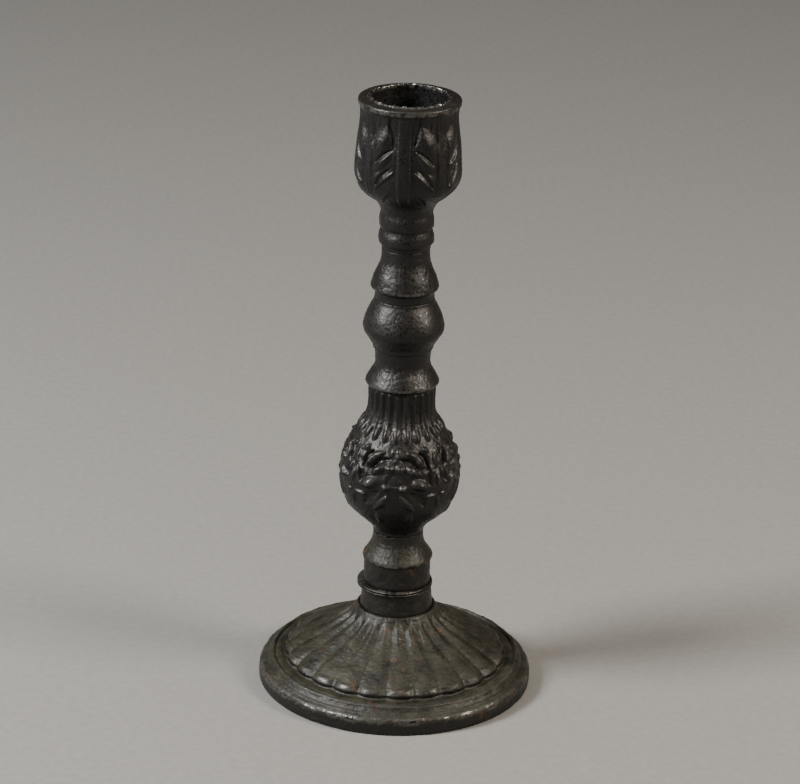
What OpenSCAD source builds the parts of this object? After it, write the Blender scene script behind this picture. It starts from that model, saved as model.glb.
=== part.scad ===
// Altar candlestick: a stack of iron castings drawn together by one long bolt.
// Millimetres, +Z up, origin on the ground at the middle of the foot.

/* [Foot] */
// Diameter of the foot where it stands
foot_d = 83; // [78:1:90]
// Diameter of the foot's upper outer edge
foot_edge_d = 81.6; // [79:0.2:82]
// Height of the foot's upper outer edge
foot_edge_h = 5; // [4:0.2:5.4]
// Diameter of the raised ring round the dome
foot_ring_d = 75; // [73:1:76]
// Height of the raised ring
foot_ring_h = 8; // [7:0.2:8.6]
// Diameter of the fluted dome
dome_d = 67; // [60:1:68]
// Height of the dome's outer edge
dome_edge_h = 10.2; // [9.4:0.2:11]
// Diameter at which the dome starts to sweep up
dome_waist_d = 38; // [34:1:42]
// Height at which the dome starts to sweep up
dome_waist_h = 18; // [17:0.2:18.4]
// Height of the dome's top lip
dome_top_h = 24.4; // [24:0.2:26]
// Thickness of the foot's wall
foot_wall = 3; // [2.5:0.5:4]
// Diameter of the boss under the dome
boss_d = 18; // [16:1:22]
// Height of the boss's lower face above the ground
boss_h = 12.6; // [11:0.2:14]

/* [Collar and ring] */
// Diameter of the collar at its foot
collar_d = 22; // [20:0.2:22.4]
// Diameter of the collar at its top
collar_top_d = 21; // [19:0.2:22]
// Depth that the collar sinks into the dome
collar_sink = 1.2; // [0.6:0.2:2]
// Height of the collar above its seat
collar_h = 7.8; // [6:0.2:10]
// Diameter of the loose ring on the collar
ring_d = 22.8; // [22:0.2:25]
// Height of the loose ring
ring_h = 1.4; // [1:0.2:2.4]
// How far the loose ring sits off centre
ring_shift = 0.6; // [0:0.1:0.8]

/* [Stem drum] */
// Diameter of the drum
drum_d = 20.4; // [18:0.2:21]
// Diameter of the drum's skirt
skirt_d = 21; // [21:0.2:22]
// Height of the skirt above the drum's seat
skirt_h = 8.2; // [6:0.2:10]
// Diameter of the waist above the skirt
waist_d = 15.2; // [14:0.2:17]
// Height of the drum
drum_h = 16.6; // [15:0.2:20]

/* [Baluster bulb] */
// Height of the bulb with its reeded neck
bulb_h = 47; // [44:0.5:52]
// Largest diameter of the bulb
bulb_d = 37.2; // [34:0.2:40]
// Height of the largest diameter above the bulb's seat
bulb_belly_h = 18.6; // [16:0.2:20]
// Diameter of the reeded neck at its narrowest
bulb_neck_d = 19.5; // [18:0.5:21]
// Height of the neck's narrowest point above the bulb's seat
bulb_neck_h = 42; // [39:0.5:43]

/* [Flared ring] */
// Height of the flared ring
flare_h = 12; // [10:0.5:14]
// Diameter of the ring's edge
flare_d = 22; // [21:0.2:24]
// Diameter of the waist above the ring
flare_waist_d = 16.2; // [15:0.2:17]

/* [Pear knop] */
// Height of the pear knop
pear_h = 15.6; // [14:0.2:18]
// Largest diameter of the pear knop
pear_d = 24.1; // [22:0.1:26]
// Height of the largest diameter above the knop's seat
pear_belly_h = 6.6; // [5:0.2:8]

/* [Upper stem] */
// Height of the upper stem
stem_h = 15.4; // [14:0.2:18]
// Diameter of its lower ring
stem_ring_d = 20.2; // [19:0.2:22]
// Diameter of its neck
stem_neck_d = 14.2; // [13:0.2:16]

/* [Candle cup] */
// Height of the cup with its neck
cup_h = 46.4; // [44:0.2:52]
// Largest diameter of the cup
cup_d = 31.6; // [30:0.2:34]
// Diameter of the cup below its rim
cup_waist_d = 28.8; // [28:0.2:29.4]
// Diameter of the rim
rim_d = 30; // [29.6:0.2:31]
// Diameter of the candle socket
socket_d = 22.5; // [21:0.5:23]
// Depth of the candle socket
socket_depth = 22.4; // [18:0.2:23]

/* [Bolt, washer and nut] */
// Diameter of the bolt
bolt_d = 6; // [5:0.5:6]
// Clearance round the bolt in every casting
bolt_play = 0.6; // [0.4:0.1:1]
// Diameter of the bolt's round head
head_d = 11; // [10:0.5:11.5]
// Height of the bolt's round head
head_h = 3.6; // [3:0.2:3.8]
// Diameter of the washer
washer_d = 14; // [13:0.5:16]
// Thickness of the washer
washer_h = 1.2; // [1:0.1:1.6]
// Width of the square nut across its flats
nut_w = 10; // [10:0.5:11]
// Height of the square nut
nut_h = 5; // [4:0.2:5.4]
// Length of bolt that stands out below the nut
bolt_tail = 2.5; // [1.5:0.1:3]

/* [Hidden] */
$fn = 96;

iron = "#2a2622";
steel = "#5b5a57";

// A spigot on the top of each casting enters a socket in the one above
spigot_d = 10;
spigot_h = 2;
spigot_play = 0.15;
spigot_gap = 0.3;
// The drum's own spigot points down, through the loose ring into the collar
drum_spigot_h = 4;
ring_bore_d = 12;
seat_play = 0.25;

// Heights of the seats, from the ground up
dome_lip_d = collar_d + 1.4;
collar_z = dome_top_h - collar_sink;
ring_z = collar_z + collar_h;
drum_z = ring_z + ring_h;
bulb_z = drum_z + drum_h;
flare_z = bulb_z + bulb_h;
pear_z = flare_z + flare_h;
stem_z = pear_z + pear_h;
cup_z = stem_z + stem_h;
rim_z = cup_z + cup_h;
socket_z = rim_z - socket_depth;

// The pocket under the candle socket hides the bolt's head
pocket_d = head_d + 2;
pocket_depth = head_h + 0.4;
head_z = socket_z - pocket_depth;
washer_z = boss_h - washer_h;
nut_z = washer_z - nut_h;
bolt_end_z = nut_z - bolt_tail;
slot_w = 1.6;
slot_depth = 1.5;
thread_play = 0.05;
bit = 0.01;

// Points of the arc from a to b. Going up, a positive rise swells it away from the axis.
function bow(a, b, rise, steps = 8) =
    let (chord = b - a,
         half = norm(chord) / 2,
         along = chord / (2 * half),
         side = [along.y, -along.x],
         turn = 2 * atan(rise / half),
         radius = half / sin(turn))
    [for (i = [0:steps])
        let (t = turn * (2 * i / steps - 1))
        (a + b) / 2 + along * radius * sin(t) + side * radius * (cos(t) - cos(turn))];

// A solid turned from an outline of [radius, height] points that runs from bottom to top
module turned(outline)
    rotate_extrude()
        polygon(concat([[0, outline[0].y]], outline, [[0, outline[len(outline) - 1].y]]));

module bolt_hole(height)
    translate([0, 0, -bit]) cylinder(d = bolt_d + bolt_play, h = height + 2 * bit);

module spigot_socket()
    translate([0, 0, -bit]) cylinder(d = spigot_d + 2 * spigot_play, h = spigot_h + spigot_gap + bit);

// A casting of the stem: its turned outline, a spigot on top and a socket beneath
module stem_casting(outline, height) {
    difference() {
        union() {
            turned(outline);
            translate([0, 0, height - bit]) cylinder(d = spigot_d, h = spigot_h + bit);
        }
        bolt_hole(height + spigot_h);
        spigot_socket();
    }
}

// The hollow foot: a stepped rim, a concave dome and a boss that takes the nut
module foot() {
    outside = concat(
        [[foot_d / 2 - 0.6, 0]],
        bow([foot_d / 2, 0.8], [foot_edge_d / 2 + 0.3, foot_edge_h - 1], 0.15, 3),
        bow([foot_edge_d / 2, foot_edge_h - 0.4], [foot_edge_d / 2 - 1, foot_edge_h + 0.6], 0.3, 3),
        bow([foot_ring_d / 2 + 1, foot_ring_h - 1], [foot_ring_d / 2 - 0.9, foot_ring_h - 0.3], 0.5, 4),
        bow([dome_d / 2 + 2.2, foot_ring_h - 0.8], [dome_d / 2 + 0.7, foot_ring_h - 0.8], -0.3, 4),
        bow([dome_d / 2, dome_edge_h - 0.4], [dome_waist_d / 2, dome_waist_h], -0.08, 6),
        bow([dome_waist_d / 2 - 0.9, dome_waist_h + 0.6], [dome_lip_d / 2 + 0.4, dome_top_h - 1.1], -0.5, 6),
        [[dome_lip_d / 2 - 0.2, dome_top_h]]
    );
    inside = concat(
        [[foot_d / 2 - foot_wall - 1, -bit]],
        [[foot_d / 2 - foot_wall - 1.6, foot_edge_h - 1.4]],
        bow([dome_d / 2, dome_edge_h - foot_wall - 0.8],
            [dome_waist_d / 2 - 0.5, dome_waist_h - foot_wall - 0.6], -0.2, 6),
        [[boss_d / 2, dome_waist_h - foot_wall + 1.6], [boss_d / 2, boss_h], [0, boss_h], [0, -bit]]
    );
    color(iron)
    difference() {
        turned(outside);
        rotate_extrude() polygon(inside);
        translate([0, 0, collar_z]) cylinder(d = collar_d + 2 * seat_play, h = collar_sink + 1);
        bolt_hole(dome_top_h);
    }
}

module foot_collar() {
    outline = concat(
        [[collar_d / 2 - 0.3, 0]],
        bow([collar_d / 2, 0.3], [collar_top_d / 2, collar_h - 0.4], -0.1, 3),
        [[collar_top_d / 2 - 0.4, collar_h]]
    );
    color(iron)
    translate([0, 0, collar_z])
    difference() {
        turned(outline);
        bolt_hole(collar_h);
        translate([0, 0, collar_h - drum_spigot_h - spigot_gap])
            cylinder(d = spigot_d + 2 * spigot_play, h = drum_spigot_h + 1);
    }
}

// A thin loose ring with a groove round its edge, clamped a little off centre
module collar_ring() {
    edge = ring_d / 2;
    outline = [
        [edge - 0.3, 0], [edge, 0.2], [edge, ring_h * 0.35], [edge - 0.4, ring_h * 0.5],
        [edge, ring_h * 0.65], [edge, ring_h - 0.2], [edge - 0.3, ring_h]
    ];
    color(iron)
    translate([-ring_shift, 0, ring_z])
    difference() {
        turned(outline);
        translate([0, 0, -bit]) cylinder(d = ring_bore_d, h = ring_h + 2 * bit);
    }
}

module stem_drum() {
    outline = concat(
        [[drum_d / 2 - 0.2, 0], [drum_d / 2, 0.2], [drum_d / 2, skirt_h - 0.8]],
        bow([skirt_d / 2, skirt_h - 0.4], [skirt_d / 2 - 0.5, skirt_h + 0.9], 0.2, 3),
        bow([skirt_d / 2 - 1.1, skirt_h + 1.7], [waist_d / 2, skirt_h + 6], -0.2, 5),
        [[waist_d / 2 + 0.1, drum_h]]
    );
    color(iron)
    translate([0, 0, drum_z])
    difference() {
        union() {
            turned(outline);
            translate([0, 0, -drum_spigot_h]) cylinder(d = spigot_d, h = drum_spigot_h + 1);
            translate([0, 0, drum_h - bit]) cylinder(d = spigot_d, h = spigot_h + bit);
        }
        translate([0, 0, -drum_spigot_h]) bolt_hole(drum_spigot_h + drum_h + spigot_h);
    }
}

module baluster_bulb() {
    belly = [bulb_d / 2, bulb_belly_h];
    shoulder = [bulb_d * 0.39, bulb_belly_h + 14];
    neck = [bulb_neck_d / 2, bulb_neck_h];
    outline = concat(
        [[waist_d / 2 + 0.1, 0]],
        bow([waist_d / 2 + 0.5, 1.8], [bulb_d * 0.39, 8], -0.2, 4),
        bow([bulb_d * 0.42, 9.8], belly, 0.6, 6),
        bow(belly + [0, 0.8], shoulder, 0.7, 8),
        bow(shoulder + [-0.6, 1], neck, -0.9, 6),
        [[bulb_neck_d / 2 + 0.8, bulb_h - 0.8], [bulb_neck_d / 2 + 0.6, bulb_h]]
    );
    color(iron) translate([0, 0, bulb_z]) stem_casting(outline, bulb_h);
}

module flared_ring() {
    outline = concat(
        [[flare_d / 2 - 0.9, 0]],
        bow([flare_d / 2 - 0.2, 0.6], [flare_d / 2 - 0.4, 2.3], 0.3, 4),
        bow([flare_d / 2 - 1.2, 3.8], [flare_waist_d / 2 + 0.3, 6.6], 0.05, 3),
        bow([flare_waist_d / 2, 8], [flare_waist_d / 2 + 0.7, flare_h], -0.1, 4)
    );
    color(iron) translate([0, 0, flare_z]) stem_casting(outline, flare_h);
}

module pear_knop() {
    belly = [pear_d / 2, pear_belly_h];
    outline = concat(
        [[flare_waist_d / 2 + 0.7, 0], [flare_waist_d / 2 + 1.2, 1.4]],
        bow([flare_waist_d / 2 + 2, 2.8], belly - [0.1, 0.4], 0.15, 6),
        bow(belly + [0, 0.4], [pear_d / 2 - 2.2, pear_h - 2.1], 0.25, 8),
        [[pear_d / 2 - 3, pear_h]]
    );
    color(iron) translate([0, 0, pear_z]) stem_casting(outline, pear_h);
}

module upper_stem() {
    ring = [stem_ring_d / 2, 3.7];
    outline = concat(
        [[pear_d / 2 - 3.1, 0], [pear_d / 2 - 3.1, 1.2]],
        bow([stem_ring_d / 2 - 0.3, 2.9], ring + [-0.1, 0.5], 0.2, 3),
        bow(ring + [-0.4, 1.8], [stem_neck_d / 2 + 1.1, 9], 0.2, 4),
        bow([stem_neck_d / 2 + 0.7, 10], [stem_neck_d / 2, stem_h], -0.4, 4)
    );
    color(iron) translate([0, 0, stem_z]) stem_casting(outline, stem_h);
}

// The tulip socket with the bead and ring of its neck, cast in one
module candle_cup() {
    neck = stem_neck_d / 2 + 0.3;
    waist_h = cup_h - 7;
    outline = concat(
        [[neck - 0.2, 0]],
        bow([neck, 0.4], [neck + 0.1, 6], 0.7, 8),
        bow([neck + 0.2, 6.7], [neck + 0.2, 10.6], 0.3, 5),
        bow([neck + 0.3, 11.6], [cup_d * 0.4, 17.6], -0.6, 5),
        bow([cup_d * 0.46, 19.6], [cup_d / 2, 24.6], 0.4, 6),
        bow([cup_d / 2, 26], [cup_waist_d / 2, waist_h], 0.25, 5),
        bow([cup_waist_d / 2, cup_h - 3.6], [rim_d / 2, cup_h - 1.6], -0.15, 3),
        [[rim_d / 2, cup_h - 0.5], [socket_d / 2 + 0.3, cup_h]]
    );
    color(iron)
    translate([0, 0, cup_z])
    difference() {
        turned(outline);
        bolt_hole(cup_h);
        spigot_socket();
        translate([0, 0, head_z - cup_z]) cylinder(d = pocket_d, h = cup_h);
        translate([0, 0, socket_z - cup_z]) cylinder(d = socket_d, h = cup_h);
    }
}

// The long bolt hangs by its slotted head in the candle socket
module stem_bolt() {
    color(steel)
    difference() {
        union() {
            translate([0, 0, bolt_end_z]) cylinder(d = bolt_d, h = head_z - bolt_end_z + bit);
            translate([0, 0, head_z]) cylinder(d = head_d, h = head_h);
        }
        translate([-head_d / 2, -slot_w / 2, head_z + head_h - slot_depth])
            cube([head_d, slot_w, slot_depth + 1]);
    }
}

module foot_washer() {
    color(steel)
    translate([0, 0, washer_z])
    difference() {
        cylinder(d = washer_d, h = washer_h);
        bolt_hole(washer_h);
    }
}

module foot_nut() {
    color(steel)
    translate([0, 0, nut_z])
    difference() {
        translate([-nut_w / 2, -nut_w / 2, 0]) cube([nut_w, nut_w, nut_h]);
        translate([0, 0, -bit]) cylinder(d = bolt_d + 2 * thread_play, h = nut_h + 2 * bit);
    }
}

foot();
foot_collar();
collar_ring();
stem_drum();
baluster_bulb();
flared_ring();
pear_knop();
upper_stem();
candle_cup();
stem_bolt();
foot_washer();
foot_nut();
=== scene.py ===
import math

import bmesh
import bpy
import numpy as np
from mathutils import Matrix, Vector, noise


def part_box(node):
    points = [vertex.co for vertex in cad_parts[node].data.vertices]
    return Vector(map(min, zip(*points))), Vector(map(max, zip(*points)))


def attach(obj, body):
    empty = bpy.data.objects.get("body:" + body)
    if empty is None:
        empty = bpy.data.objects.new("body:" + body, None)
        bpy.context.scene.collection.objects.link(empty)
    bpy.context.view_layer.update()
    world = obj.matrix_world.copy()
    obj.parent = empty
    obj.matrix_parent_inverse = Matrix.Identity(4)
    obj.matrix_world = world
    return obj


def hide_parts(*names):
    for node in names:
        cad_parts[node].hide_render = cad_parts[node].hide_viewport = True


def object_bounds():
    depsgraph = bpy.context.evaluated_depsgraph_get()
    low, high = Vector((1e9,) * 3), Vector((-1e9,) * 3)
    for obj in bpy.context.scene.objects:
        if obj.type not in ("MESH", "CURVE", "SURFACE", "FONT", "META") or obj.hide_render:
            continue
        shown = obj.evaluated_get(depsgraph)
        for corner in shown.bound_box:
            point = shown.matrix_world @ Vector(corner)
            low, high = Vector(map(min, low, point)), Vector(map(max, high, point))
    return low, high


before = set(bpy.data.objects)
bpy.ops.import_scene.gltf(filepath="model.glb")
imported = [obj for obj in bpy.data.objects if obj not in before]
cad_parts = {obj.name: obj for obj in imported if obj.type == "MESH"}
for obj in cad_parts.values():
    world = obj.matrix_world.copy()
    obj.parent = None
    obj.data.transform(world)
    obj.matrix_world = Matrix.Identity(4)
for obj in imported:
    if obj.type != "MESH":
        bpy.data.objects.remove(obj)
cad_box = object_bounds()


# The foot. A hollow grey-iron sand casting: a stepped rim that stands on the table, a raised ring and
# a dome of 24 petals. A boss underneath takes the washer and nut, and a recess on top takes the collar.
# Everything below is in millimetres until MM turns it to metres.
MM = 0.001
BOLT_HOLE = 3.3
PETALS = 24
PETAL_TURN = 3.5
DOME_EDGE = 33.5
LUMP_SIZE = 4.5
DENT_SIZE = 1.8
GRAIN_SIZE = 0.8
SEAT_REACH = 3.2


def low(node):
    """Height of a node's lowest point, in millimetres."""
    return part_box(node)[0][2] / MM


def high(node):
    """Height of a node's highest point, in millimetres."""
    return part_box(node)[1][2] / MM


def flow(points, step=0.32):
    """A smooth line through given (radius, height) points, with a point about every step."""
    keys = [Vector(p) for p in points]
    keys = [2 * keys[0] - keys[1]] + keys + [2 * keys[-1] - keys[-2]]
    line = []
    for a, b, c, d in zip(keys, keys[1:], keys[2:], keys[3:]):
        count = max(1, round((c - b).length / step))
        for i in range(count):
            t = i / count
            line.append(0.5 * (2 * b + (c - a) * t + (2 * a - 5 * b + 4 * c - d) * t**2
                               + (3 * b - a - 3 * c + d) * t**3))
    return [tuple(p) for p in line] + [tuple(points[-1])]


def spun(name, outline, base=0.0, steps=192, centre=0.0):
    """A solid of revolution from a closed loop of (radius, height) points, as a new object."""
    bm = bmesh.new()
    ring = [bm.verts.new((r * MM, 0, (z + base) * MM)) for r, z in outline]
    edges = [bm.edges.new(pair) for pair in zip(ring, ring[1:] + ring[:1])]
    bmesh.ops.spin(bm, geom=ring + edges, cent=(0, 0, 0), axis=(0, 0, 1), angle=math.tau,
                   steps=steps, use_merge=True)
    bmesh.ops.translate(bm, verts=bm.verts, vec=(centre * MM, 0, 0))
    bmesh.ops.recalc_face_normals(bm, faces=bm.faces)
    return made(name, bm)


def made(name, bm):
    """Turns a bmesh into a smooth-shaded object at the origin."""
    mesh = bpy.data.meshes.new(name)
    bm.to_mesh(mesh)
    bm.free()
    mesh.shade_smooth()
    piece = bpy.data.objects.new(name, mesh)
    bpy.context.collection.objects.link(piece)
    return piece


def emboss(piece, lift):
    """Moves each vertex along its normal by lift(angle, radius, height), all in degrees and millimetres,
    and returns the lifts. The angle is 0 at the front and grows to the right."""
    place, normal = skin_of(piece)
    angle = np.degrees(np.arctan2(place[:, 0], -place[:, 1]))
    rise = lift(angle, np.hypot(place[:, 0], place[:, 1]), place[:, 2])
    push(piece, place, normal, rise)
    return rise


def skin_of(piece):
    """Places (in millimetres) and normals of a piece's vertices, one row for each."""
    mesh = piece.data
    place = np.empty(len(mesh.vertices) * 3)
    normal = np.empty(len(mesh.vertices) * 3)
    mesh.vertices.foreach_get("co", place)
    mesh.vertices.foreach_get("normal", normal)
    return place.reshape(-1, 3) / MM, normal.reshape(-1, 3)


def push(piece, place, normal, rise):
    """Moves a piece's vertices along their normals by rise millimetres, inside the CAD's box."""
    moved = (place + normal * rise[:, None]) * MM
    piece.data.vertices.foreach_set("co", np.clip(moved, cad_box[0], cad_box[1]).ravel())
    piece.data.update()


def fade(value, start, end):
    """0 before start, 1 after end and a smooth rise between them. It falls if end is below start."""
    t = np.clip((value - start) / (end - start), 0, 1)
    return t * t * (3 - 2 * t)


def petal_place(angle):
    """Where an angle lies across its petal: 0 on the crest, -1 and 1 in the valleys beside it."""
    turns = (angle - PETAL_TURN) * PETALS / 360
    return 2 * (turns - np.round(turns))


def petals(angle, radius, height):
    """Lift of the dome's petals: sharp ridges near the stem, broad further out, a bead at the end."""
    across = np.abs(petal_place(angle))
    on_dome = fade(radius, 12.2, 15) * fade(radius, DOME_EDGE + 0.3, DOME_EDGE - 0.3)
    on_dome = on_dome * fade(height, 7.9, 9.0)
    flat = fade(radius, 14, 26)
    ridged = -0.85 * (1 - np.cos(across * math.pi)) / 2
    broad = -0.36 * across ** 3 - 0.25 * across ** 2 * fade(radius, 28, 33)
    bead = 0.2 * np.exp(-((radius - DOME_EDGE + 1.0 + 0.8 * across ** 2.5) / 0.5) ** 2)
    return (ridged * (1 - flat) + broad * flat + bead) * on_dome


def scallop(piece):
    """Rounds the end of each petal by drawing the dome's edge in at the valleys."""
    for v in piece.data.vertices:
        radius = v.co.xy.length / MM
        reach = 1 - abs(radius - DOME_EDGE) / (4.5 if radius < DOME_EDGE else 1.4)
        if reach > 0 and v.co.z > 7 * MM:
            across = petal_place(math.degrees(math.atan2(v.co.x, -v.co.y)))
            v.co.xy *= 1 - 0.85 * abs(across) ** 2.5 * reach / radius


def weather(piece, lump=0.15, grain=0.06, seed=0):
    """The uneven skin of a sand casting: slow lumps a few millimetres across, dents and a coarse grain.
    Level faces and a piece's two ends, where it seats on the next, are dented but never stand proud."""
    place, normal = skin_of(piece)
    shift = Vector((seed * 17.3, seed * 5.1, seed * 9.7))
    points = [Vector(p) + shift for p in place.tolist()]
    rise = [lump * noise.noise(p / LUMP_SIZE) + 0.3 * lump * noise.noise(p / DENT_SIZE)
            + grain * noise.noise(p / GRAIN_SIZE) for p in points]
    from_end = np.minimum(place[:, 2] - place[:, 2].min(), place[:, 2].max() - place[:, 2])
    free = fade(from_end, SEAT_REACH, SEAT_REACH + 1.4) * fade(np.abs(normal[:, 2]), 0.97, 0.9)
    rise = np.minimum(rise, 0) + np.maximum(rise, 0) * free
    push(piece, place, normal, rise)


def rub(piece, edges, proud=0.0):
    """Paints how far the black is rubbed off a piece, from 0 to 1: on what stands proud, and along each
    edge, given as (radius, height, reach, how much). Patches a few millimetres across break it up."""
    place, _ = skin_of(piece)
    radius = np.hypot(place[:, 0], place[:, 1])
    worn = np.zeros(len(place)) + proud
    for ring, up, reach, much in edges:
        worn = np.maximum(worn, much * (1 - np.hypot(radius - ring, place[:, 2] - up) / reach))
    for i in np.flatnonzero(worn > 0):
        p = Vector(place[i])
        worn[i] *= min(1, max(0, 0.3 + 2.0 * noise.noise(p / 5) + 2.0 * noise.noise(p / 1.2)))
    piece.data.attributes.new("rubbed", "FLOAT", "POINT").data.foreach_set("value", np.clip(worn, 0, 1))


def linear(colour):
    """Linear RGBA of an sRGB hex colour."""
    parts = [int(colour[i:i + 2], 16) / 255 for i in (1, 3, 5)]
    return [p / 12.92 if p <= 0.04045 else ((p + 0.055) / 1.055) ** 2.4 for p in parts] + [1.0]


def add_node(material, kind, settings=None, **links):
    """Adds a shader node. A setting is an input's value, one of the node's own, or the (place, colour)
    stops of a colour ramp, where a number stands for a grey. A link is a node or one of its outputs."""
    node = material.node_tree.nodes.new("ShaderNode" + kind)
    for name, value in (settings or {}).items():
        if name == "stops":
            for _ in value[2:]:
                node.color_ramp.elements.new(1.0)
            for mark, (place, colour) in zip(node.color_ramp.elements, value):
                mark.position = place
                mark.color = linear(colour) if isinstance(colour, str) else (colour, colour, colour, 1)
        elif name in node.inputs:
            node.inputs[name].default_value = value
        else:
            setattr(node, name, value)
    for name, source in links.items():
        output = source.outputs[0] if isinstance(source, bpy.types.Node) else source
        material.node_tree.links.new(output, node.inputs[name.replace("_", " ")])
    return node


def cast_iron(name, shade, dust_and_light_colour, dust_dull, rust):
    """Sand-cast grey iron, blackened and waxed: black where it faces down or out, which is partly painted
    shade beneath, and a brown film on what faces up, partly dust and partly painted light from above. The
    grain of the sand scatters small glints over a dull skin, bare grey metal shows where it is rubbed, and
    rust shows in spots. Shade is the black; the second colour is the upward film's, dust tinted with painted
    top light;
    dust_dull is how rough the dusty parts are, and rust is how far the spots spread, from 0 for next to
    none."""
    material = bpy.data.materials.new(name)
    material.use_nodes = True
    material.node_tree.nodes.clear()
    place = add_node(material, "TexCoord")
    where = place.outputs["Object"]
    # Noise scale is in turns per metre: 1 / (size in millimetres * MM)
    patches = add_node(material, "TexNoise", {"Scale": 1 / (5 * MM), "Detail": 5.0, "Roughness": 0.65},
                       Vector=where)
    grain = add_node(material, "TexNoise", {"Scale": 1 / (0.7 * MM), "Detail": 3.0, "Roughness": 0.65},
                     Vector=where)
    glints = add_node(material, "TexVoronoi", {"Scale": 1 / (0.5 * MM)}, Vector=where).outputs["Color"]
    pits = add_node(material, "TexVoronoi", {"Scale": 1 / (1.3 * MM)}, Vector=where)
    spots = add_node(material, "TexNoise", {"Scale": 1 / (3.4 * MM), "Detail": 4.0, "Roughness": 0.7},
                     Vector=where)
    facing = add_node(material, "SeparateXYZ", Vector=place.outputs["Normal"]).outputs["Z"]
    film = add_node(material, "ValToRGB", {"stops": [(0.32, 0.15), (0.66, 1.0)]}, Fac=patches)
    # Painted top light: faces pointing up are lightened towards the film colour and faces pointing down stay
    # black, as if lit from above and shaded beneath; part of this film is real dust.
    up_facing_light_and_dust = add_node(material, "ValToRGB", {"stops": [(0.0, 0.06), (0.7, 1.0)]}, Fac=facing)
    speckle = add_node(material, "ValToRGB", {"stops": [(0.36, 0.5), (0.58, 1.0)]}, Fac=grain)
    times = {"blend_type": "MULTIPLY", "Fac": 1.0}
    film = add_node(material, "MixRGB", times, Color1=film, Color2=speckle)
    # Painted top light and dust together: the upward mask times the patchy film decides where the lighter
    # film colour goes.
    dust_and_top_light = add_node(material, "MixRGB", times, Color1=up_facing_light_and_dust, Color2=film)
    colour = add_node(material, "MixRGB", {"Color1": linear(shade), "Color2": linear(dust_and_light_colour)}, Fac=dust_and_top_light)
    rusty = add_node(material, "ValToRGB", {"stops": [(0.70 - rust, 0.0), (0.78 - rust, 0.5)]}, Fac=spots)
    colour = add_node(material, "MixRGB", {"Color2": linear("#5c3a20")}, Fac=rusty, Color1=colour)
    edges = add_node(material, "NewGeometry").outputs["Pointiness"]
    edges = add_node(material, "ValToRGB", {"stops": [(0.52, 0.0), (0.58, 1.0)]}, Fac=edges)
    places = add_node(material, "ValToRGB", {"stops": [(0.42, 0.0), (0.58, 1.0)]}, Fac=patches)
    polished = add_node(material, "MixRGB", times, Color1=edges, Color2=places)
    rubbed = add_node(material, "Attribute", {"attribute_name": "rubbed"}).outputs["Fac"]
    colour = add_node(material, "MixRGB", {"Color2": linear("#686661")}, Fac=rubbed, Color1=colour)
    dull = add_node(material, "ValToRGB", {"stops": [(0.15, 0.26), (0.38, 0.5)]}, Fac=glints)
    dull = add_node(material, "MixRGB", {"Color2": (0.24, 0.24, 0.24, 1)}, Fac=polished, Color1=dull)
    dusty = (dust_dull, dust_dull, dust_dull, 1)
    dull = add_node(material, "MixRGB", {"Color2": dusty}, Fac=dust_and_top_light, Color1=dull)
    dull = add_node(material, "MixRGB", {"Color2": (0.25, 0.25, 0.25, 1)}, Fac=rubbed, Color1=dull)
    pitted = add_node(material, "ValToRGB", {"stops": [(0.0, 0.0), (0.35, 1.0)]}, Fac=pits)
    skin = add_node(material, "Bump", {"Strength": 0.6, "Distance": 0.16 * MM}, Height=grain)
    skin = add_node(material, "Bump", {"Strength": 0.3, "Distance": 0.15 * MM}, Height=pitted, Normal=skin)
    shader = add_node(material, "BsdfPrincipled", {"IOR": 1.5, "Specular IOR Level": 0.42},
                      Base_Color=colour, Metallic=rubbed, Roughness=dull, Normal=skin)
    add_node(material, "OutputMaterial", Surface=shader)
    return material


def settle(piece, node, material):
    """Puts a finished piece in its node's place on the stick."""
    piece.data.materials.append(material)
    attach(piece, "root")
    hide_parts(node)


outline = (
    [(38.4, 0)]
    + flow([(40.9, 0), (41.35, 0.35), (41.48, 1.2), (41.45, 2.6), (41.4, 3.6)])
    + flow([(41.25, 4.2), (40.95, 4.75), (40.55, 5.15), (40.0, 5.5)], 0.2)
    + flow([(39.6, 5.75), (39.25, 6.05), (39.0, 6.1), (38.8, 6.3), (38.3, 7.0), (37.9, 7.7), (37.5, 8.0),
            (37.0, 7.95), (36.65, 7.6), (36.3, 7.5), (35.7, 7.75), (34.8, 7.8), (34.0, 7.7)], 0.22)
    + flow([(33.6, 7.85), (33.5, 8.3), (33.55, 8.9), (33.2, 9.6), (32.2, 10.4), (29.6, 12.0),
            (25.9, 14.0), (22.3, 16.0), (19.0, 18.0), (16.6, 19.6), (14.4, 21.3), (12.9, 22.8),
            (12.3, 23.7), (12.0, 24.25)])
    + [(11.6, 24.4), (11.1, 24.35), (11.02, 24.1), (11.02, 23.2)]
    + [(BOLT_HOLE, 23.2), (BOLT_HOLE, 12.6), (8.6, 12.6)]
    + flow([(9.0, 13.0), (9.2, 15.6), (10.6, 16.6), (14, 16.2), (18.5, 14.4), (26, 10.6), (33.5, 6.4),
            (36.4, 4.0), (37.4, 2.0), (37.8, 0.4)], 1.0)
)
foot = spun("foot_casting", outline, steps=PETALS * 16)
emboss(foot, petals)
scallop(foot)
weather(foot, lump=0.2, grain=0.12, seed=1)
rub(foot, [(41.0, 4.4, 1.3, 1.3), (33.0, 9.8, 0.9, 0.6), (37.3, 8.0, 0.6, 0.3)])
# 373527 is the upward film: olive dust together with painted light from above.
foot_iron = cast_iron("blackened_cast_iron_rust_spotted", "#0c0a08", "#373527", 0.62, 0.09)
settle(foot, "foot", foot_iron)


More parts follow.
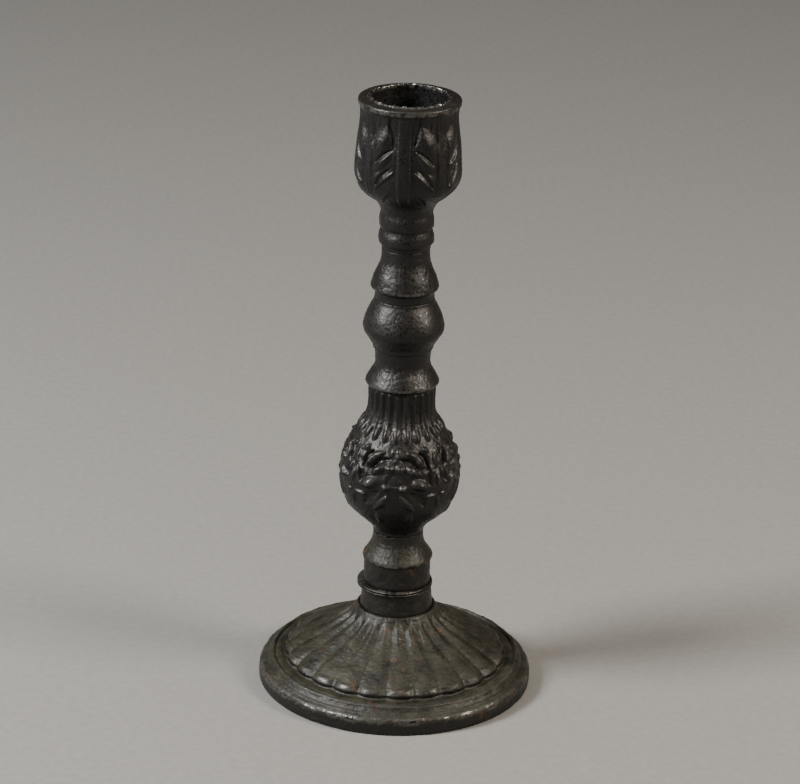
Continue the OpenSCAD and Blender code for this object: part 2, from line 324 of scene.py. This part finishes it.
# The foot's collar. A short plain iron drum that stands in the recess of the dome; a socket in its top
# takes the spigot of the drum above.
SPIGOT = 5.0
SOCKET = 5.15
SPIGOT_RISE = 2.0
SOCKET_DEPTH = 2.3
DRUM_SPIGOT = 4.0
# 2a2620 is the upward film: a faint dust together with painted light from above.
black_iron = cast_iron("blackened_cast_iron", "#060505", "#2a2620", 0.42, 0.0)
rise = high("foot_collar") - low("foot_collar")
socket_end = rise - DRUM_SPIGOT - 0.3
outline = (
    [(BOLT_HOLE, 0), (10.8, 0)]
    + flow([(10.95, 0.2), (10.98, 1.2), (10.85, 2.6), (10.7, 4.4), (10.55, 6.2), (10.5, rise - 0.35)])
    + [(10.3, rise), (SOCKET, rise), (SOCKET, socket_end), (BOLT_HOLE, socket_end)]
)
collar = spun("foot_collar_casting", outline, low("foot_collar"))
weather(collar, lump=0.25, grain=0.1, seed=2)
settle(collar, "foot_collar", foot_iron)


# The collar ring. A thin loose iron ring clamped between collar and drum, a little off centre, with a
# groove round its edge that leaves two sharp lips.
outline = (
    [(6, 0), (11.1, 0)]
    + flow([(11.25, 0.06), (11.4, 0.26), (11.38, 0.42), (11.1, 0.58), (10.85, 0.7),
            (11.1, 0.82), (11.38, 0.98), (11.4, 1.14), (11.25, 1.34)], 0.1)
    + [(11.1, 1.4), (6, 1.4)]
)
ring_centre = (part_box("collar_ring")[0][0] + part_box("collar_ring")[1][0]) / 2 / MM
ring = spun("collar_ring_casting", outline, low("collar_ring"), centre=ring_centre)
weather(ring, lump=0.1, grain=0.08, seed=3)
rub(ring, [(11.4, low("collar_ring") + 0.35, 0.7, 0.8), (11.4, low("collar_ring") + 1.1, 0.7, 1.1)])
settle(ring, "collar_ring", black_iron)


# The stem drum. An iron drum with a flared skirt and a concave waist. Its long spigot points down
# through the loose ring, and a short one on top enters the bulb.
def casting_outline(side, down=None):
    """Closes the side of a stem casting with its spigot above, its bolt hole and its socket beneath."""
    top = side[-1][1]
    above = [(SPIGOT, top), (SPIGOT, top + SPIGOT_RISE), (BOLT_HOLE, top + SPIGOT_RISE)]
    beneath = [(BOLT_HOLE, SOCKET_DEPTH), (SOCKET, SOCKET_DEPTH), (SOCKET, 0)]
    if down:
        beneath = [(BOLT_HOLE, -down), (SPIGOT, -down), (SPIGOT, 0)]
    return side + above + beneath


side = (
    [(9.9, 0)]
    + flow([(10.05, 0.2), (10.15, 1.0), (10.1, 4.0), (10.05, 7.0), (10.1, 7.6)])
    + flow([(10.5, 7.75), (10.55, 8.1), (10.4, 8.75), (9.85, 9.6), (9.2, 10.6), (8.6, 11.6), (8.05, 12.7),
            (7.7, 13.9), (7.6, 15.0), (7.6, 16.2), (7.62, 16.54)], 0.25)
    + [(7.58, 16.6)]
)
drum = spun("stem_drum_casting", casting_outline(side, DRUM_SPIGOT), high("collar_ring"))
weather(drum, lump=0.22, grain=0.1, seed=4)
rub(drum, [(10.55, high("collar_ring") + 8.1, 0.8, 0.8)])
settle(drum, "stem_drum", foot_iron)


# The baluster bulb. The richest casting: 24 reeds run down its neck and end in drops, and four
# hanging leaves with curled lobes go round its belly.
REEDS = 24
REED_TURN = -6.5
LEAF_AXIS = -5.0
REED_END = 33.5
MOULD_ANGLE = 86


def stroke(across, up, path, start, end, height, taper=0.35):
    """Height of a rounded ridge of metal along a path of (across, up) points, from one half-width to
    another. Both ends run out over the share taper of its length."""
    best = np.full(across.shape, 9.0)
    lengths = [math.dist(a, b) for a, b in zip(path, path[1:])]
    run = 0.0
    for (x0, y0), (x1, y1), length in zip(path, path[1:], lengths):
        along = np.clip(((across - x0) * (x1 - x0) + (up - y0) * (y1 - y0)) / length**2, 0, 1)
        gap = np.hypot(across - x0 - along * (x1 - x0), up - y0 - along * (y1 - y0))
        share = (run + along * length) / sum(lengths)
        ends = 0.35 + 0.65 * np.clip(np.minimum(share, 1 - share) / taper, 0, 1)
        best = np.minimum(best, gap / (1.2 * (start + (end - start) * share) * ends))
        run += length
    return height * np.clip(1 - best**2, 0, 1) ** 1.8


def leaflet(across, up, middle, size, tilt, height, fat):
    """Height of a rounded leaf-shaped pad of metal. Size is half its length and half its width, tilt
    turns its length up from level, and fat makes one end broader than the other."""
    turn = math.radians(tilt)
    x, y = across - middle[0], up - middle[1]
    along = (x * math.cos(turn) + y * math.sin(turn)) / size[0]
    beside = (y * math.cos(turn) - x * math.sin(turn)) / size[1] / (1 - fat * np.clip(along, -1, 1))
    return 1.15 * height * np.clip(1 - along**2 - beside**2, 0, 1) ** 1.4


def leaf_frame(angle, reach):
    """Distance to the side of the nearest of four leaf axes, in millimetres on a wall of radius reach."""
    turn = (angle - LEAF_AXIS + 45) % 90 - 45
    return np.abs(turn) * math.radians(1) * reach


def mould_line(angle, at, width=0.9):
    """1 where two mould halves met, at an angle and on the far side from it, fading out over a width."""
    off = np.minimum(np.abs((angle - at + 180) % 360 - 180), np.abs((angle - at) % 360 - 180))
    return np.clip(1 - off / width, 0, 1)


BULB_RIDGES = [
    ([(9.4, 26.6), (7.7, 29.0), (4.4, 30.5)], 1.6, 1.1, 1.05),
    ([(13.0, 25.6), (12.4, 23.2)], 0.85, 0.85, 0.8),
    ([(0.0, 20.8), (2.6, 20.8)], 0.55, 0.55, 0.4),
    ([(13.4, 17.6), (9.2, 17.2)], 0.85, 0.7, 0.6),
    ([(2.2, 17.8), (3.8, 15.4), (6.4, 13.2)], 1.25, 1.1, 0.75),
]
BULB_LEAFLETS = [
    ((5.6, 25.6), (2.4, 1.45), -30, 1.05, 0.2),
    ((1.8, 26.1), (1.6, 1.3), 0, 0.9, 0.0),
    ((11.3, 31.0), (1.4, 1.0), -20, 0.7, 0.2),
    ((0.9, 30.8), (0.7, 0.7), 0, 0.35, 0.0),
    ((8.0, 21.3), (3.2, 1.9), -18, 1.3, 0.15),
    ((2.6, 20.6), (1.5, 1.1), 0, 0.85, 0.0),
    ((5.3, 9.8), (2.6, 1.6), 90, 0.5, 0.2),
    ((14.4, 28.0), (2.4, 1.2), 90, 0.5, 0.3),
    ((14.4, 22.4), (2.6, 1.2), -90, 0.7, 0.3),
    ((14.4, 15.0), (2.4, 1.0), -90, 0.5, 0.3),
]
BULB_GROOVES = [
    ([(1.8, 28.8), (5.0, 28.2), (8.0, 25.8)], 0.9, 1.1, 0.9),
    ([(8.8, 30.3), (10.6, 28.6), (11.2, 25.8)], 1.0, 1.2, 1.0),
    ([(11.3, 24.4), (11.2, 21.2)], 0.8, 0.8, 0.7),
    ([(4.9, 18.9), (7.6, 16.9), (9.6, 14.6)], 1.5, 2.4, 0.6),
]


def bulb_relief(base):
    """Lift of the bulb's ornament: leaves and lobes, shallower at the mould line, and the reeds."""
    def lift(angle, radius, height):
        up = height - base
        across = leaf_frame(angle, 18.3)
        pads = np.max([leaflet(across, up, *pad) for pad in BULB_LEAFLETS], axis=0)
        ridges = np.max([stroke(across, up, *line) for line in BULB_RIDGES], axis=0)
        grooves = np.max([stroke(across, up, *line) for line in BULB_GROOVES], axis=0)
        band = 0.2 * fade(up, 17, 20) * fade(up, 32, 30)
        rough = [noise.noise(Vector((a, r, z)) / 1.7) for a, r, z in
                 zip((angle * 0.32).tolist(), radius.tolist(), up.tolist())]
        band = band * (1 + 1.4 * np.array(rough))
        shallow = 1 - 0.75 * mould_line(angle, MOULD_ANGLE, 38)
        leaves = np.where(radius > 9, (np.maximum(pads, ridges) - grooves) * shallow + band, 0)
        turns = (angle - REED_TURN) * REEDS / 360
        side = np.abs(2 * (turns - np.round(turns)))
        end = REED_END + 1.4 * side**2
        depth = fade(up, end - 0.7, end + 0.9) * (0.5 + 0.7 * fade(up, 38, 43) + 0.45 * fade(up, 37, 35))
        reed = (0.5 * np.cos(side * math.pi) - 0.1) * depth * 0.62
        drop = 0.36 * np.clip(1 - (side / 0.75) ** 2 - ((up - end - 1.2) / 1.7) ** 2, 0, 1) ** 0.7
        under = -0.16 * np.exp(-((up - end + 1.0) / 0.6) ** 2) * (1 - 0.4 * side)
        reed = np.where(radius > 8, reed + drop + under, 0) * fade(up, 46.9, 46.2)
        flash = 0.2 * mould_line(angle, MOULD_ANGLE) * (radius > 7)
        flash = flash * fade(up, 0.3, 1.2) * fade(up, 46.9, 46.2)
        return leaves + reed + flash
    return lift


side = (
    [(7.3, 0)]
    + flow([(7.6, 0.2), (7.75, 1.1), (8.3, 2.1), (9.6, 3.6), (11.2, 5.1), (13.0, 6.7), (14.5, 8.2),
            (15.7, 10), (16.8, 12.2), (17.5, 14.6), (17.85, 17), (17.85, 19.4), (17.7, 21.6),
            (17.3, 23.8), (16.6, 26), (15.7, 28.2), (14.8, 30.2), (13.7, 32.3), (12.5, 34.2),
            (11.4, 36), (10.5, 37.8), (9.95, 39.8), (9.75, 42), (9.75, 44), (9.85, 46), (9.85, 46.94)], 0.27)
    + [(9.8, 47)]
)
bulb = spun("baluster_bulb_casting", casting_outline(side), low("baluster_bulb"), steps=REEDS * 14)
raised = emboss(bulb, bulb_relief(low("baluster_bulb")))
weather(bulb, lump=0.14, grain=0.06, seed=5)
rub(bulb, [], 0.5 * fade(raised, 0.6, 1.2))
settle(bulb, "baluster_bulb", black_iron)


# The flared ring. A turned iron knop with a sharp ragged edge and a narrow waist above it.
side = (
    [(9.9, 0)]
    + flow([(10.0, 0.2), (10.35, 0.7), (10.85, 0.95)], 0.2)
    + flow([(11.0, 1.15), (11.0, 1.5), (10.75, 2.1), (10.2, 3.1), (9.4, 4.5), (8.65, 5.8),
            (8.2, 7.1), (8.08, 8.3), (8.25, 10), (8.45, 11.2), (8.5, 11.94)], 0.27)
    + [(8.46, 12)]
)
flare = spun("flared_ring_casting", casting_outline(side), low("flared_ring"))
weather(flare, lump=0.14, grain=0.12, seed=6)
rub(flare, [(11.0, low("flared_ring") + 1.2, 0.7, 0.8)])
settle(flare, "flared_ring", black_iron)


# The pear knop. A plain pear-shaped iron bead, fuller below than above.
side = (
    [(8.8, 0)]
    + flow([(9.0, 0.15), (9.05, 0.5), (9.1, 0.9), (9.4, 1.5), (9.9, 2.3), (10.9, 3.9), (11.7, 5.2),
            (12.05, 6.4), (12.0, 7.4), (11.6, 9.1), (11.0, 10.8), (10.3, 12.3), (9.6, 13.7),
            (9.1, 14.7), (8.9, 15.54)])
    + [(8.84, 15.6)]
)
pear = spun("pear_knop_casting", casting_outline(side), low("pear_knop"))
weather(pear, seed=7)
settle(pear, "pear_knop", black_iron)


# The upper stem. A concave iron neck that swells into a ring at its foot.
side = (
    [(8.7, 0)]
    + flow([(8.85, 0.2), (8.8, 1.0), (8.85, 1.9), (9.1, 2.6), (9.6, 3.1)], 0.25)
    + flow([(10.0, 3.3), (10.12, 3.65), (9.95, 4.3), (9.65, 5.3), (9.15, 6.9),
            (8.5, 8.4), (7.9, 9.9), (7.4, 11.4), (7.15, 13), (7.1, 15.34)], 0.25)
    + [(7.06, 15.4)]
)
upper = spun("upper_stem_casting", casting_outline(side), low("upper_stem"))
weather(upper, seed=8)
rub(upper, [(10.1, low("upper_stem") + 3.6, 0.7, 0.8)])
settle(upper, "upper_stem", black_iron)


# The candle cup. A tulip socket cast in one with the ring and bead of its neck. Four tall leaves with
# a flat rib and drooping lobes clothe it, a plain lip goes round the rim, and the candle stands in a
# bore whose floor hides the bolt's head in a pocket.
CUP_RIDGES = [
    ([(3.0, 27.4), (5.8, 24.9), (8.9, 21.6)], 0.6, 0.6, 0.5),
    ([(4.8, 20.6), (7.4, 18.4), (9.4, 16.2)], 0.8, 0.7, 0.25),
    ([(12.1, 43.0), (12.1, 19.0)], 0.7, 0.6, 0.3),
    ([(11.1, 42.5), (11.2, 20.0)], 0.4, 0.4, 0.2),
]
CUP_LEAFLETS = [
    ((7.4, 35.2), (7.2, 3.4), 120, 0.75, 0.3),
    ((6.6, 30.2), (4.4, 1.9), 132, 0.75, 0.3),
    ((7.4, 25.6), (3.2, 1.6), 132, 0.35, 0.3),
]
CUP_GROOVES = [
    ([(4.9, 42.6), (4.0, 38.5), (3.0, 34.4)], 1.3, 0.6, 0.55),
    ([(3.6, 33.9), (5.6, 32.6), (8.8, 29.4)], 0.6, 0.7, 0.55),
    ([(4.2, 28.3), (6.4, 26.2), (9.0, 22.6)], 0.65, 0.75, 0.55),
    ([(10.3, 43.2), (10.2, 31.0), (10.0, 19.5)], 0.4, 0.4, 0.35),
    ([(7.8, 42.4), (8.2, 39.6)], 0.4, 0.4, 0.2),
]


def cup_relief(base, rim):
    """Lift of the cup's ornament: leaves with flat ribs, the mould line and the rim's chipped edge."""
    def lift(angle, radius, height):
        up = height - base
        across = leaf_frame(angle, 15.4)
        pads = np.max([leaflet(across, up, *pad) for pad in CUP_LEAFLETS], axis=0)
        ridges = np.max([stroke(across, up, *line) for line in CUP_RIDGES], axis=0)
        grooves = np.max([stroke(across, up, *line) for line in CUP_GROOVES], axis=0)
        rib = 0.36 * fade(across, 2.0, 1.6) * fade(up, 43.2, 42.2) * fade(up, 15.5, 18)
        wall = (radius > 11.6) | (up < 20)
        outside = wall & (radius > 8.2) & (up < 43.4)
        flash = 0.25 * mould_line(angle, MOULD_ANGLE, 1.1) * ((radius > 7) & (up < 44) & wall)
        chips = [noise.noise(Vector((a, r, 4.0)))
                 for a, r in zip((angle / 5).tolist(), radius.tolist())]
        burr = np.array(chips) * 0.45 * fade(radius, 12.4, 11.9) * fade(up, rim - 1.4, rim - 0.5)
        shallow = 1 - 0.6 * mould_line(angle, MOULD_ANGLE, 34)
        leaves = np.where(outside, np.maximum(pads, np.maximum(ridges, rib)) - grooves, 0)
        return leaves * shallow + flash + burr
    return lift


BORE = 11.25
HEAD_RISE = 3.6
base = low("candle_cup")
head_seat = high("stem_bolt") - HEAD_RISE - base
socket_floor = head_seat + 4.0
rim = high("candle_cup") - base
side = (
    [(7.0, 0)]
    + flow([(7.15, 0.2), (7.15, 0.9), (7.25, 1.4), (7.6, 1.6)], 0.25)
    + flow([(7.95, 1.8), (8.1, 2.4), (8.08, 3.3), (7.9, 4.4), (7.6, 5.4), (7.4, 6.1), (7.45, 6.5)], 0.25)
    + flow([(7.75, 6.7), (7.92, 7.3), (7.92, 8.5), (7.82, 9.8), (7.62, 10.8), (7.62, 11.6), (7.95, 12.7),
            (8.6, 13.9), (9.7, 15.2), (11.2, 16.5), (12.8, 17.8), (14.1, 19.3), (14.9, 20.9),
            (15.3, 22.7), (15.35, 25), (15.2, 28.4), (14.9, 32), (14.5, 35.5), (14.1, 38.5),
            (14.05, 41), (14.2, 42.6)], 0.29)
    + flow([(14.4, 43.2), (14.85, 43.8), (15.0, 44.5), (14.9, 45.2), (14.4, 45.5), (13.2, 45.55),
            (12.45, 45.6)], 0.25)
    + flow([(12.2, 45.75), (11.95, rim - 0.38), (11.7, rim - 0.25), (11.45, rim - 0.3),
            (11.28, rim - 0.55)], 0.12)
    + flow([(BORE, rim - 0.9), (BORE, 43), (BORE, 40), (BORE, 32), (BORE, socket_floor)], 0.6)
    + [(6.5, socket_floor), (6.5, head_seat), (BOLT_HOLE, head_seat)]
    + [(BOLT_HOLE, SOCKET_DEPTH), (SOCKET, SOCKET_DEPTH), (SOCKET, 0)]
)
cup = spun("candle_cup_casting", side, base, steps=320)
emboss(cup, cup_relief(base, rim))
weather(cup, lump=0.12, grain=0.06, seed=9)
rub(cup, [(11.6, base + rim - 0.3, 1.0, 2.2), (15.0, base + 44.5, 0.8, 1.2)])
settle(cup, "candle_cup", black_iron)


# The bolt. A 6 mm mild steel bolt with a slotted round head, dropped down through every casting.
def carved(piece, cutters):
    """Cuts the cutters out of a piece and deletes them."""
    for cutter in cutters:
        cut = piece.modifiers.new("cut", "BOOLEAN")
        cut.operation = "DIFFERENCE"
        cut.solver = "EXACT"
        cut.object = cutter
    graph = bpy.context.evaluated_depsgraph_get()
    solid = bpy.data.meshes.new_from_object(piece.evaluated_get(graph))
    piece.modifiers.clear()
    piece.data = solid
    for cutter in cutters:
        bpy.data.objects.remove(cutter)


def block(name, size, place):
    """A box of the given size in millimetres, centred on a place."""
    bm = bmesh.new()
    bmesh.ops.create_cube(bm, size=MM)
    bmesh.ops.scale(bm, vec=size, verts=bm.verts)
    bmesh.ops.translate(bm, vec=[c * MM for c in place], verts=bm.verts)
    return made(name, bm)


def mild_steel(name):
    """Zinc-free mild steel, drawn and left dull: a grey metal with a brown bloom of old rust."""
    material = bpy.data.materials.new(name)
    material.use_nodes = True
    material.node_tree.nodes.clear()
    where = add_node(material, "TexCoord").outputs["Object"]
    bloom = add_node(material, "TexNoise", {"Scale": 1 / (3 * MM), "Detail": 4.0, "Roughness": 0.6},
                     Vector=where)
    scratches = add_node(material, "TexNoise", {"Scale": 1 / (0.5 * MM), "Detail": 2.0}, Vector=where)
    colour = add_node(material, "ValToRGB", {"stops": [(0.4, "#6b6762"), (0.6, "#4a3527")]}, Fac=bloom)
    dull = add_node(material, "ValToRGB", {"stops": [(0.4, 0.38), (0.62, 0.75)]}, Fac=bloom)
    skin = add_node(material, "Bump", {"Strength": 0.3, "Distance": 0.08 * MM}, Height=scratches)
    shader = add_node(material, "BsdfPrincipled", {"Metallic": 0.9},
                      Base_Color=colour, Roughness=dull, Normal=skin)
    add_node(material, "OutputMaterial", Surface=shader)
    return material


steel = mild_steel("dull_mild_steel")
SHANK = 3.0
HEAD = 5.5
head_base = high("stem_bolt") - HEAD_RISE
tail = low("stem_bolt")
profile = [(0, tail), (2.4, tail), (SHANK, tail + 0.6), (SHANK, head_base), (HEAD - 0.3, head_base)]
profile += flow([(HEAD, head_base + 0.3), (HEAD - 0.1, head_base + 1.4), (4.4, head_base + 2.7),
                 (2.6, head_base + 3.4), (0, head_base + HEAD_RISE)], 0.4)
bm = bmesh.new()
line = [bm.verts.new((r * MM, 0, z * MM)) for r, z in profile]
edges = [bm.edges.new(pair) for pair in zip(line, line[1:])]
bmesh.ops.spin(bm, geom=line + edges, cent=(0, 0, 0), axis=(0, 0, 1), angle=math.tau,
               steps=64, use_merge=True)
bmesh.ops.remove_doubles(bm, verts=bm.verts, dist=0.001 * MM)
bmesh.ops.recalc_face_normals(bm, faces=bm.faces)
bolt = made("stem_bolt_body", bm)
carved(bolt, [block("slot", (2 * HEAD + 1, 1.6, 3), (0, 0, head_base + HEAD_RISE))])
settle(bolt, "stem_bolt", steel)


# The washer. A flat punched steel washer between the boss and the nut, with a rolled edge.
outline = [(3.3, 0.1), (3.4, 0), (6.8, 0), (7, 0.2), (7, 0.9), (6.7, 1.2), (3.5, 1.2), (3.3, 1.0)]
washer = spun("foot_washer_disc", outline, low("foot_washer"), steps=96)
settle(washer, "foot_washer", steel)


# The nut. A square steel nut with its lower corners turned off, as on old stove bolts.
NUT_WIDTH = 10.0
NUT_BORE = 3.05
nut_low = low("foot_nut")
nut_rise = high("foot_nut") - nut_low
bm = bmesh.new()
bmesh.ops.create_cube(bm, size=MM)
bmesh.ops.scale(bm, vec=(NUT_WIDTH, NUT_WIDTH, nut_rise), verts=bm.verts)
bmesh.ops.translate(bm, vec=(0, 0, (nut_low + nut_rise / 2) * MM), verts=bm.verts)
bmesh.ops.bevel(bm, geom=bm.edges, offset=0.35 * MM, offset_type="OFFSET", segments=2, profile=0.5,
                affect="EDGES", material=-1)
nut = made("foot_nut_body", bm)
bm = bmesh.new()
bmesh.ops.create_cone(bm, cap_ends=True, segments=48, radius1=NUT_BORE * MM, radius2=NUT_BORE * MM,
                      depth=3 * nut_rise * MM)
bmesh.ops.translate(bm, vec=(0, 0, nut_low * MM), verts=bm.verts)
carved(nut, [made("nut_bore", bm)])
settle(nut, "foot_nut", steel)


# The stage: a plain pale floor, two soft lights, a weak broad sun overhead and a camera a metre away
# that looks down on the stick.
def studio_floor(name):
    """Matt pale paper: a faint tooth, no gloss."""
    material = bpy.data.materials.new(name)
    material.use_nodes = True
    material.node_tree.nodes.clear()
    where = add_node(material, "TexCoord").outputs["Object"]
    tooth = add_node(material, "TexNoise", {"Scale": 400.0, "Detail": 2.0}, Vector=where)
    colour = add_node(material, "ValToRGB", {"stops": [(0.3, "#868480"), (0.7, "#8c8a86")]}, Fac=tooth)
    shader = add_node(material, "BsdfPrincipled", {"Roughness": 0.9}, Base_Color=colour)
    add_node(material, "OutputMaterial", Surface=shader)
    return material


bm = bmesh.new()
bmesh.ops.create_grid(bm, x_segments=1, y_segments=1, size=12.0)
paper = made("studio_floor", bm)
paper.data.materials.append(studio_floor("pale_paper"))


def soft_light(name, place, size, power, colour="#ffffff"):
    """A square soft light that points at the middle of the stick."""
    light = bpy.data.lights.new(name, "AREA")
    light.size = size
    light.energy = power
    light.color = linear(colour)[:3]
    lamp = bpy.data.objects.new(name, light)
    lamp.location = place
    lamp.rotation_euler = (Vector((0, 0, 0.09)) - Vector(place)).to_track_quat("-Z", "Y").to_euler()
    bpy.context.collection.objects.link(lamp)


soft_light("left_light", (-0.80, -0.28, 0.70), 0.32, 20)
soft_light("right_light", (0.80, -0.28, 0.64), 0.30, 10.5, "#fff2e2")
sky = bpy.data.lights.new("top_light", "SUN")
sky.energy = 0.8
sky.angle = 1.2
bpy.context.collection.objects.link(bpy.data.objects.new("top_light", sky))
world = bpy.data.worlds.new("studio")
world.use_nodes = True
world.node_tree.nodes["Background"].inputs["Color"].default_value = linear("#c8ccd0")
world.node_tree.nodes["Background"].inputs["Strength"].default_value = 0.04
bpy.context.scene.world = world

DISTANCE = 1.002
LOOK_DOWN = math.radians(21.9)
LEAN = math.radians(1.6)
TARGET = Vector((0, 0, 0.092))
camera_data = bpy.data.cameras.new("camera")
camera_data.lens = 151.65
camera_data.sensor_width = 36
camera_data.shift_x = -0.00225
camera_data.shift_y = 0.005
camera = bpy.data.objects.new("camera", camera_data)
camera.location = TARGET + Vector((0, -math.cos(LOOK_DOWN), math.sin(LOOK_DOWN))) * DISTANCE
aim = Matrix.Rotation(math.pi / 2 - LOOK_DOWN, 3, "X") @ Matrix.Rotation(LEAN, 3, "Z")
camera.rotation_euler = aim.to_euler()
bpy.context.collection.objects.link(camera)
bpy.context.scene.camera = camera
